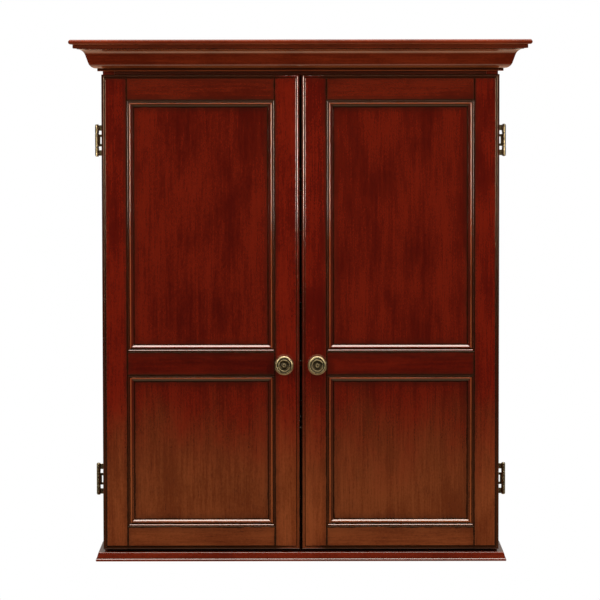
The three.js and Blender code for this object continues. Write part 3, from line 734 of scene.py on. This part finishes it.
def build_member(node_name, rectangle, material, body):
    """A stile or rail of a door. Its face follows the door's edge profile where it meets the door's
    outer rectangle, with mitred corners, and is eased where it meets another member."""
    (bx0, bx1), (by0, by1), (bz0, bz1) = span(node_name)
    table = edge_profile()

    def lines(low, high, outer_low, outer_high):
        found = {low, high}
        for distance, _, _ in table:
            found.update((outer_low + distance * MM, outer_high - distance * MM))
        for distance, _, _ in EASE:
            if low > outer_low + 1e-5:
                found.add(low + distance * MM)
            if high < outer_high - 1e-5:
                found.add(high - distance * MM)
        kept = []
        for value in sorted(v for v in found if low - 1e-7 <= v <= high + 1e-7):
            if not kept or value - kept[-1] > 2e-6:
                kept.append(value)
        return kept

    rx0, rx1, rz0, rz1 = rectangle
    xs, zs = lines(bx0, bx1, rx0, rx1), lines(bz0, bz1, rz0, rz1)

    def out_of(value, low, high):
        return min(value - low, high - value) / MM

    shell = Shell()
    front, back = [], []
    for z in zs:
        row_front, row_back = [], []
        for x in xs:
            outer = min(out_of(x, rx0, rx1), out_of(z, rz0, rz1))
            depth, glaze = height_at(outer, table)
            # Painted shade on the door's outer edges, but not where the doors meet.
            if PAINTED_SHADE_EDGE[0] < outer < PAINTED_SHADE_EDGE[1] and abs(x) / MM > MEETING:
                glaze = max(glaze, 0.8)
            inner = [value for value, at_joint in (
                ((x - bx0) / MM, bx0 > rx0 + 1e-5), ((bx1 - x) / MM, bx1 < rx1 - 1e-5),
                ((z - bz0) / MM, bz0 > rz0 + 1e-5), ((bz1 - z) / MM, bz1 < rz1 - 1e-5)) if at_joint]
            for value in inner:
                ease_depth, ease_glaze = height_at(value, EASE)
                depth, glaze = max(depth, ease_depth), max(glaze, ease_glaze)
            row_front.append(shell.vertex((x, by0 + depth * MM, z), glaze))
            row_back.append(shell.vertex((x, by1, z)))
        front.append(row_front)
        back.append(row_back)
    for j in range(len(zs) - 1):
        for i in range(len(xs) - 1):
            a, b, c, d = front[j][i], front[j][i + 1], front[j + 1][i + 1], front[j + 1][i]
            around = ((i, j), (i + 1, j), (i + 1, j + 1), (i, j + 1))
            spans = [out_of(xs[k], rx0, rx1) - out_of(zs[m], rz0, rz1) for k, m in around]
            mitred = [abs(value) < 1e-3 for value in spans]
            if mitred[0] and mitred[2]:
                shell.face((a, b, c))
                shell.face((a, c, d))
            elif mitred[1] and mitred[3]:
                shell.face((a, b, d))
                shell.face((b, c, d))
            else:
                shell.face((a, b, c, d))
            shell.face((back[j][i], back[j][i + 1], back[j + 1][i + 1], back[j + 1][i]))
    for j in range(len(zs) - 1):
        for i in (0, -1):
            shell.face((front[j][i], front[j + 1][i], back[j + 1][i], back[j][i]))
    for i in range(len(xs) - 1):
        for j in (0, -1):
            shell.face((front[j][i], front[j][i + 1], back[j][i + 1], back[j][i]))
    shell.piece(node_name + "_board", material, body, [node_name], crease=24)


def bead_profile(fillet_painted_shade, crest_wear_and_painted_light, slope_painted_shade):
    """(inward, depth behind the face of the frame, glaze and painted light) in millimetres: an eased fillet,
    a quirk, a low crest and a slope down to the panel. The fillet's, the crest's and the slope's values are
    given for each side: painted shade above zero, and below zero, on the crest, wear and painted highlight."""
    fillet = [(0.1, 1.2, 1.0), (0.8, 1.0, 1.0), (1.3, 0.62, 0.8), (1.5, 0.55, max(0.2, fillet_painted_shade)),
              (1.7, 0.60, fillet_painted_shade), (2.2, 0.96, fillet_painted_shade), (2.75, 1.40, fillet_painted_shade),
              (2.95, 1.75, 0.6)]
    quirk = [(3.1, 2.3, 1.0), (3.4, 2.7, 1.0), (3.7, 2.7, 1.0), (4.0, 2.2, 0.9)]
    crest = [(4.3, 1.85), (4.7, 1.66), (5.1, 1.60), (5.5, 1.66), (5.9, 1.82)]
    slope = [(6.7, 2.26), (7.6, 2.85), (8.5, 3.50), (9.3, 4.18), (9.8, 4.70)]
    back = [(10.15, 5.7, 0.9), (10.3, 6.8, 1.0), (10.6, 6.85, 1.0), (10.6, 7.2, 1.0), (0.1, 7.2, 1.0)]
    return fillet + quirk + glazed(crest, crest_wear_and_painted_light) + glazed(slope, slope_painted_shade) + back


BEAD_WIDTH = 10.6 * MM
BEAD_PAINTED_LIGHT = (  # painted light on the fillet, the crest and the slope of each side
    (0.0, 0.9, 0.0),  # the foot
    (0.62, -0.5, 0.5),
    (0.8, -0.6, 0.92),  # the head
    (0.62, -0.5, 0.5),
)


def build_bead(node_name, opening, face_y, materials, body):
    """Four mitred lengths, each with its own painted light: painted shade on the head's and the sides'
    fillets and slopes and on the foot's crest, and a crest rubbed lighter, wear and painted highlight, at the
    head and sides. The foot's slope faces the light overhead and is left bright.
    """
    x0, x1, z0, z1 = opening
    corners = ((x0, z0, 1, 1), (x1, z0, -1, 1), (x1, z1, -1, -1), (x0, z1, 1, -1))
    shell = Shell()
    for i, glazes_and_painted_light in enumerate(BEAD_PAINTED_LIGHT):
        profile = bead_profile(*glazes_and_painted_light)
        (xa, za, *out_a), (xb, zb, *out_b) = corners[i], corners[(i + 1) % 4]
        gap = Vector((xb - xa, 0, zb - za)).normalized() * 0.05 * MM
        rings = [[Vector((x + out[0] * s * MM, face_y + depth * MM, z + out[1] * s * MM)) + push
                  for s, depth, _ in profile]
                 for x, z, out, push in ((xa, za, out_a, gap), (xb, zb, out_b, -gap))]
        shell.loft(rings, [g for _, _, g in profile], slots=[i % 2])
    shell.piece(node_name + "_moulding", [materials["x"], materials["z"]], body, [node_name], crease=28)


def knob_profile():
    """(radius, distance from the door's face, glaze) in millimetres: a rose, a waist, and a dished face
    of a broad domed rim, a ring, a hollow and a button with a pierced middle."""
    points = [(0.0, 0.3, 0.0), (8.2, 0.3, 0.8)]
    points += glazed(arc((7.9, 1.2), (0.7, 0.7), -60, 80, 5), 0.2)
    points += [(7.4, 2.2, 0.9), (6.4, 3.0, 0.5), (5.4, 4.4, 0.2), (4.9, 6.4, 0.2), (4.9, 8.2, 0.3)]
    points += [(5.4, 9.8, 0.5), (6.6, 11.2, 0.7), (9.0, 12.4, 0.6), (12.2, 13.4, 0.4)]
    rim = arc((12.4, 16.4), (2.6, 2.9), -70, 62, 12)
    points += glazed(rim[:2], 0.3) + glazed(rim[2:], 0.0)
    points += [(12.9, 19.35, 0.0), (12.0, 19.72, 0.0), (11.3, 19.6, 0.3), (10.95, 19.2, 0.9)]
    points += [(10.75, 18.5, 1.0), (9.75, 18.45, 1.0), (9.6, 19.0, 0.9)]
    points += glazed(arc((8.75, 19.3), (0.8, 0.85), 10, 170, 8), 0.0)
    points += [(7.8, 18.8, 0.6), (7.5, 18.1, 0.95), (6.8, 17.6, 0.9), (5.6, 17.35, 0.82)]
    points += [(4.4, 17.4, 0.85), (3.5, 17.9, 1.0)]
    points += glazed(arc((2.1, 19.0), (1.15, 1.2), -20, 140, 8), 0.1)
    return points + [(1.15, 19.5, 0.6), (0.95, 18.9, 1.0), (0.0, 18.7, 1.0)]


def build_knob(suffix, side, brass, steel):
    (x0, x1), (_, y1), (z0, z1) = span("knob_" + suffix)
    centre = Vector(((x0 + x1) / 2, y1 + 0.3 * MM, (z0 + z1) / 2))
    profile = knob_profile()
    shell = Shell()
    shell.turn([(r * MM, a * MM) for r, a, _ in profile], centre, -Y, 96, [g for _, _, g in profile])
    shell.piece("knob_turned_" + suffix, brass, "door_" + suffix,
                ["knob_" + suffix], crease=50)
    bolt = Shell()
    back = Vector((centre.x, span("stile_inner_" + suffix)[1][1], centre.z))
    add_screw(bolt, back, Y, 4.2, 1.5, domed=1.6)
    bolt.piece("knob_bolt_" + suffix, steel, "door_" + suffix)


def add_screw(shell, centre, axis, radius, recess, domed=0.35):
    """The head of a screw with a cross recess, standing on a surface. Radius and domed are in millimetres."""
    axis = Vector(axis)
    side = axis.orthogonal().normalized()
    up = axis.cross(side)
    arm, width = 0.52 * radius, 0.16 * radius

    def at(a, b, c):
        return Vector(centre) + (side * a + up * b + axis * c) * MM

    rim = [(math.cos(2 * math.pi * i / 28), math.sin(2 * math.pi * i / 28)) for i in range(28)]
    rows = [[shell.vertex(at(s * c, s * d, h), g) for c, d in rim] for s, h, g in
            ((radius, 0.02, 0.8), (radius, 0.3 * domed, 0.2), (0.93 * radius, 0.62 * domed, 0.0),
             (0.80 * radius, 0.85 * domed, 0.0), (0.62 * radius, domed, 0.0))]
    for low, high in zip(rows, rows[1:]):
        for i in range(28):
            shell.face((low[i], low[(i + 1) % 28], high[(i + 1) % 28], high[i]))
    shell.face(rows[0])
    cross = [(arm, -width), (arm, width), (width, width), (width, arm), (-width, arm), (-width, width),
             (-arm, width), (-arm, -width), (-width, -width), (-width, -arm), (width, -arm), (width, -width)]
    top = [shell.vertex(at(a, b, domed), 0.4) for a, b in cross]
    bottom = [shell.vertex(at(0.85 * a, 0.85 * b, max(0.05, domed - recess)), 1.0) for a, b in cross]
    for i in range(12):
        shell.face((top[i], top[(i + 1) % 12], bottom[(i + 1) % 12], bottom[i]))
    shell.face(bottom)
    loops = []
    for ring in (rows[-1], top):
        for i, vertex in enumerate(ring):
            after = ring[(i + 1) % len(ring)]
            loops.append(shell.bm.edges.get((vertex, after)) or shell.bm.edges.new((vertex, after)))
    bmesh.ops.triangle_fill(shell.bm, use_beauty=True, use_dissolve=False, edges=loops)


def door_rectangle(suffix):
    boxes = [span(f"{name}_{suffix}") for name in ("stile_inner", "stile_outer")]
    return (min(b[0][0] for b in boxes), max(b[0][1] for b in boxes), boxes[0][2][0], boxes[0][2][1])


def door_openings(suffix):
    """The two openings of a door's frame, as (x0, x1, z0, z1)."""
    xs = sorted(x for name in ("stile_inner", "stile_outer") for x in span(f"{name}_{suffix}")[0])[1:3]
    top, middle, bottom = (span(f"rail_{name}_{suffix}")[2] for name in ("top", "middle", "bottom"))
    return {"upper": (*xs, middle[1], top[0]), "lower": (*xs, bottom[1], middle[0])}


# Name, axis of the grain, shade, share of brown at the top
MEMBERS = (
    ("stile_outer", "z", 1.05, 0.0),
    ("stile_inner", "z", 1.1, 0.0),
    ("rail_top", "x", 0.85, 0.12),
    ("rail_middle", "x", 0.75, 0.0),
    ("rail_bottom", "x", 1.0, 0.0),
)


def build_door(suffix, side, woods, brass, steel):
    body = "door_" + suffix
    rectangle = door_rectangle(suffix)
    face_y, back_y = span("rail_top_" + suffix)[1]
    # Each member's rim carries painted shade, reaching twice as far below its upper rim with top at 0.5; each
    # panel's rim carries painted shade inside its bead.
    for i, (name, along, shade, brown) in enumerate(MEMBERS):
        (x0, x1), _, (z0, z1) = span(f"{name}_{suffix}")
        board = wood(f"mahogany_{name}_{suffix}", along, 1.3 * i + 0.7 * side, shade, (brown, 1.0),
                     (x0, x1, z0, z1), 0.012, 0.5, back=back_y - 2 * MM)
        build_member(f"{name}_{suffix}", rectangle, board, body)
    for level, opening in door_openings(suffix).items():
        build_bead(f"bead_{level}_{suffix}", opening, face_y, woods, body)
        x0, x1, z0, z1 = opening
        seen = (x0 + BEAD_WIDTH, x1 - BEAD_WIDTH, z0 + BEAD_WIDTH, z1 - BEAD_WIDTH)
        panel = f"panel_{level}_{suffix}"
        panel_wood = wood("mahogany_" + panel, "z", 2.35 + 0.7 * side, 0.93, (0.02, 1.0), seen,
                          back=span(panel)[1][1] - 1 * MM)
        dress(panel, panel_wood)
    board = span("scoreboard_" + suffix)
    dress("scoreboard_" + suffix, chalkboard("chalkboard_" + suffix, (*board[0], *board[2])), 0.3)
    dress("dart_rack_" + suffix, woods["x"], 1.2)
    dress("strike_plate_" + suffix, metal("dull_zinc_" + suffix, (0.22, 0.22, 0.215), 0.55), 0.2)
    build_knob(suffix, side, brass, steel)
    (x0, x1), (_, y1), (z0, z1) = span("strike_plate_" + suffix)
    screw = Shell()
    add_screw(screw, ((x0 + x1) / 2, y1, (z0 + z1) / 2), Y, 2.6, 0.5, domed=0.5)
    screw.piece("strike_screw_" + suffix, steel, body)


# ---- Hinges -------------------------------------------------------------------------------------
def knuckle(shell, x, y, z0, z1, radius, bore):
    """A rolled barrel with eased ends."""
    ease, length = 0.35 * MM, z1 - z0
    profile = [(bore, 0), (radius - ease, 0), (radius, ease)]
    profile += [(radius, length - ease), (radius - ease, length), (bore, length)]
    glazes_and_painted_light = [1.0, 0.9, 0.1, 0.1, 0.9, 1.0]
    shell.turn(profile, (x, y, z0), Z, 40, glazes_and_painted_light)


def plate(shell, xs, ys, zs, glaze=0.0):
    """A flat piece of sheet metal with eased edges."""
    ease = 0.18 * MM
    (x0, x1), (y0, y1), (z0, z1) = xs, ys, zs
    rings = []
    for y, e in ((y0, ease), (y0 + ease, 0.0), (y1 - ease, 0.0), (y1, ease)):
        rings.append([Vector((x0 + e, y, z0 + e)), Vector((x1 - e, y, z0 + e)),
                      Vector((x1 - e, y, z1 - e)), Vector((x0 + e, y, z1 - e))])
    shell.loft(rings, [glaze] * 4)


def build_hinge(level, suffix, side, brass):
    tag = f"{level}_{suffix}"
    (px0, px1), (py0, py1), (pz0, pz1) = span("hinge_pin_" + tag)
    x, y, z = (px0 + px1) / 2, (py0 + py1) / 2, (pz0 + pz1) / 2
    carcass_box, door_box = span("hinge_leaf_carcass_" + tag), span("hinge_leaf_door_" + tag)
    half = (carcass_box[2][1] - carcass_box[2][0]) / 2
    radius, bore, middle, gap, metal_thick = 3.2 * MM, 1.75 * MM, 10.5 * MM, 0.15 * MM, 1.1 * MM
    leaf_edge, flat_edge = 9.3 * MM, 26.3 * MM

    def across(near, far):
        """An x range between two distances inboard of the pin."""
        return tuple(sorted((x - side * near, x - side * far)))

    arm_root, barrel_side = leaf_edge + 0.8 * MM, 1.9 * MM
    ys = (y + gap, y + gap + metal_thick)
    shell = Shell()
    plate(shell, across(leaf_edge, flat_edge), ys, (z - half, z + half), 0.15)
    for sign in (-1, 1):
        low, high = sorted((sign * (half - 8.6 * MM), sign * half))
        plate(shell, across(barrel_side, arm_root), ys, (z + low, z + high), 0.1)
        ends = sorted((sign * (middle + 0.3 * MM), sign * half))
        knuckle(shell, x, y, z + ends[0], z + ends[1], radius, bore)
    screw_spots = ((14.5, -16.5), (20.5, 0.0), (14.5, 16.5))
    for inboard, up in screw_spots:
        add_screw(shell, (x - side * inboard * MM, ys[0], z + up * MM), -Y, 3.0, 0.5, domed=0.10)
    shell.piece("hinge_leaf_carcass_rolled_" + tag, brass, "carcass",
                ["hinge_leaf_carcass_" + tag], crease=30)

    ys = (y - gap - metal_thick, y - gap)
    shell = Shell()
    plate(shell, across(leaf_edge, flat_edge), ys, (z - half, z + half), 0.15)
    neck, arm = 9.3 * MM, 3.9 * MM
    # The door leaf's neck and arms are darkened with patina, painted shade in the gap at the door's edge; the
    # carcass leaf stays light.
    plate(shell, across(barrel_side, 5.2 * MM), ys, (z - neck, z + neck), 0.6)
    for sign in (-1, 1):
        low, high = sorted((sign * (neck - arm), sign * neck))
        plate(shell, across(4.0 * MM, arm_root), ys, (z + low, z + high), 0.5)
    knuckle(shell, x, y, z - middle, z + middle, radius, bore)
    for inboard, up in screw_spots:
        add_screw(shell, (x - side * inboard * MM, ys[1], z + up * MM), Y, 3.0, 0.5, domed=0.10)
    shell.piece("hinge_leaf_door_rolled_" + tag, brass, "door_" + suffix,
                ["hinge_leaf_door_" + tag], crease=30)

    pin, ease = 1.45 * MM, 0.25 * MM
    end, shoulder = pz1 - z, half + 0.25 * MM
    cap = [(pin, shoulder), (2.7 * MM, shoulder), (2.9 * MM, shoulder + ease)]
    cap += arc((0.0, shoulder + ease), (2.9 * MM, end - shoulder - ease), 12, 90, 8)
    profile = [(r, -a) for r, a in cap[::-1]] + cap
    shell = Shell()
    glazes_and_painted_light = [0.1] * (len(cap) - 3) + [0.3, 0.8, 1.0]
    shell.turn(profile, (x, y, z), Z, 32, glazes_and_painted_light + glazes_and_painted_light[::-1])
    shell.piece("hinge_pin_turned_" + tag, brass, "carcass", ["hinge_pin_" + tag], crease=40)


# ---- Dartboard ----------------------------------------------------------------------------------
NUMBERS = (20, 1, 18, 4, 13, 6, 10, 15, 2, 17, 3, 19, 7, 16, 8, 11, 14, 9, 12, 5)
UPSIDE_DOWN = (6, 14)  # the first and last of the lower numbers, which are turned to read upright


def ring_of_wire(shell, radius, y, thickness):
    shell.turn(arc((radius, 0), (thickness, thickness), 0, 324, 9), (0, y, 0), -Y, 144)


def rod(shell, start, end, thickness, sides=8):
    """A round wire between two points."""
    start, end = Vector(start), Vector(end)
    axis = (end - start).normalized()
    side = axis.orthogonal().normalized()
    turns = [Matrix.Rotation(2 * math.pi * i / sides, 3, axis) @ side * thickness for i in range(sides)]
    shell.loft([[point + out for out in turns] for point in (start, end)])


def build_spider(steel):
    """Round wires on the face: six rings and twenty spokes, held by staples."""
    (_, edge), (y0, y1), _ = span("wire_spider")
    y = (y0 + y1) / 2
    thickness = 0.58 * MM
    shell = Shell()
    for radius in (*BULL_RADII, *TREBLE_RADII, *DOUBLE_RADII):
        ring_of_wire(shell, radius, y + 0.1 * MM, thickness)
    reach = 1.012 * edge
    for i in range(20):
        angle = math.radians(9 + 18 * i)
        out = Vector((math.sin(angle), 0, math.cos(angle)))
        rod(shell, out * BULL_RADII[1] + Y * y, out * reach + Y * y, 0.5 * MM)
        for radius in (60 * MM, 135 * MM, 178 * MM):
            across = Vector((math.cos(angle), 0, -math.sin(angle))) * 1.3 * MM
            middle = out * radius + Y * (y - 0.15 * MM)
            rod(shell, middle - across, middle + across, 0.42 * MM, 6)
    shell.piece("wire_spider_round", steel, "dartboard", ["wire_spider"], crease=60)


def build_number_ring(steel):
    """A wire ring that carries the numbers 1 to 20, cut from sheet, inside it."""
    (_, x1), (y0, y1), _ = span("number_ring")
    y = (y0 + y1) / 2
    radius, wire = x1 - 1.0 * MM, 1.0 * MM
    shell = Shell()
    ring_of_wire(shell, radius, y, wire)
    height = 19.0 * MM
    for i, number in enumerate(NUMBERS):
        curve = bpy.data.curves.new("digits", "FONT")
        curve.body = str(number)
        curve.align_x = "CENTER"
        curve.size = height * 1.42
        curve.extrude = 0.45 * MM
        curve.offset = 0.1 * MM
        curve.bevel_depth = 0.22 * MM
        curve.bevel_resolution = 1
        curve.resolution_u = 6
        text = bpy.data.objects.new("digits", curve)
        bpy.context.scene.collection.objects.link(text)
        bpy.context.view_layer.update()
        mesh = bpy.data.meshes.new_from_object(text.evaluated_get(bpy.context.evaluated_depsgraph_get()))
        if UPSIDE_DOWN[0] <= i <= UPSIDE_DOWN[1]:
            heights = [v.co.y for v in mesh.vertices]
            middle = Matrix.Translation((0, (min(heights) + max(heights)) / 2, 0))
            mesh.transform(middle @ Matrix.Rotation(math.pi, 4, "Z") @ middle.inverted())
        turn = Matrix.Rotation(math.radians(18 * i), 4, "Y")
        place = Matrix.Translation((0, y, radius - height + 0.6 * MM)) @ Matrix.Rotation(math.pi / 2, 4, "X")
        mesh.transform(turn @ place)
        shell.bm.from_mesh(mesh)
        bpy.data.objects.remove(text)
        bpy.data.curves.remove(curve)
        bpy.data.meshes.remove(mesh)
    shell.piece("number_ring_wire", steel, "number_ring", ["number_ring"], crease=40)


def build_dartboard(steel, black, ply):
    (_, radius), (front, back), _ = span("sisal_disc")
    ease = 1.2 * MM
    profile = [(share * radius, 0.0) for share in (0.0, 0.25, 0.5, 0.75)] + [(radius - ease, 0.0)]
    profile += arc((radius - ease, -ease), (ease, ease), 90, 0, 5)
    profile += [(radius, front - back), (0.0, front - back)]
    shell = Shell()
    shell.turn(profile, (0, front, 0), -Y, 160)
    shell.piece("sisal_pressed", sisal(), "dartboard", ["sisal_disc"], crease=60)
    (_, outer), (y0, y1), _ = span("rim_band")
    inner = radius + 0.3 * MM
    lip = 0.75 * MM
    middle = (inner + outer) / 2
    depth = y1 - y0
    profile = arc((middle, depth - lip), (lip, lip), 0, 180, 8) + arc((middle, lip), (lip, lip), 180, 360, 8)
    shell = Shell()
    shell.turn(profile, (0, y1, 0), -Y, 160)
    shell.piece("rim_band_rolled", black, "dartboard", ["rim_band"], crease=60)
    build_spider(steel)
    build_number_ring(metal("ring_wire", (0.86, 0.86, 0.84), 0.32, metallic=0.55))
    dress("board_backing", ply)
    dress("board_hook_screw", steel, 0.3)


# ---- Carcass --------------------------------------------------------------------------------------
def build_carcass(side_wood, inner_wood_painted_shade, steel, black, ply):
    for side in ("left", "right"):
        dress("side_panel_" + side, side_wood, 0.6)
    # The top, the bottom and the header rail take the darkened inside wood: painted shade.
    for name in ("top_panel", "bottom_panel", "header_rail"):
        dress(name, inner_wood_painted_shade, 0.5)
    dress("back_panel", ply, 0.3)
    dress("cork_liner", cork())
    rail_wood = plain_ply("rail_timber", (0.30, 0.17, 0.08), "x")
    for name in ("hanging_rail_lower", "hanging_rail_upper"):
        dress(name, rail_wood, 0.8)
    dress("board_bracket", black, 0.3)
    dress("magnetic_catch", paint("black_plastic", (0.018, 0.018, 0.018), 0.45), 0.6)
    (x0, x1), (y0, y1), (z0, z1) = span("board_bracket")
    shell = Shell()
    flange = 8 * MM
    for x in (x0 + flange, x1 - flange):
        for z in (z0 + 12 * MM, z1 - 12 * MM):
            add_screw(shell, (x, y1 - 1.6 * MM, z), -Y, 4.0, 0.9, domed=1.4)
    shell.piece("bracket_screws", steel, "carcass")
    (x0, x1), (y0, y1), (z0, z1) = span("magnetic_catch")
    shell = Shell()
    for x in (x0 + 6 * MM, x1 - 6 * MM):
        add_screw(shell, (x, (y0 + y1) / 2, z1 - 2.0 * MM), -Z, 3.0, 0.6, domed=0.9)
    shell.piece("catch_screws", steel, "carcass")
    shell = Shell()
    ys, zs = (y0 - 0.5 * MM, y0 + 3 * MM), (z0 + 1.5 * MM, z1 - 2.8 * MM)
    for centre in (-17 * MM, 17 * MM):
        for x in (centre - 9 * MM, centre + 9 * MM):
            plate(shell, (x - 0.8 * MM, x + 0.8 * MM), ys, zs)
    shell.piece("catch_pole_plates", steel, "carcass")


def main():
    add_camera()
    add_world()
    add_lights()
    add_floor()
    door_back = span("rail_top_left")[1][1] - 2 * MM
    door_woods = {axis: wood("mahogany_bead_" + axis, axis, shift, back=door_back)
                  for axis, shift in (("x", 0.4), ("z", 1.6))}
    crown_woods = {axis: wood("mahogany_crown_" + axis, axis, shift, 0.95, (0.28, 0.28), coat=0.5)
                   for axis, shift in (("x", 2.4), ("y", 0.9))}
    base_wood = wood("mahogany_base", "x", 3.1, 0.9, (0.0, 0.15))
    side_wood = wood("mahogany_sides", "z", 4.2, 0.9, coat=0.2, satin=0.12)
    # The inside wood is made far darker: painted shade in the gaps above and below the doors.
    inner_wood_painted_shade = wood("mahogany_inside_painted_shade", "x", 5.5, 0.35, coat=0.1, satin=0.2)
    brass = aged_brass()
    steel = metal("zinc_steel", (0.50, 0.505, 0.51), 0.42)
    black = paint("black_paint", (0.012, 0.012, 0.013), 0.35)
    ply = plain_ply("stained_ply", (0.20, 0.085, 0.045))
    build_crown(crown_woods)
    build_cap(wood("mahogany_cap", "x", 6.1, 0.95, (0.28, 0.28), coat=0.1, satin=0.22, specular=0.1))
    build_base(base_wood)
    build_carcass(side_wood, inner_wood_painted_shade, steel, black, ply)
    for suffix, side in SIDES:
        build_door(suffix, side, door_woods, brass, steel)
        for level in LEVELS:
            build_hinge(level, suffix, side, brass)
    build_dartboard(steel, black, ply)


main()
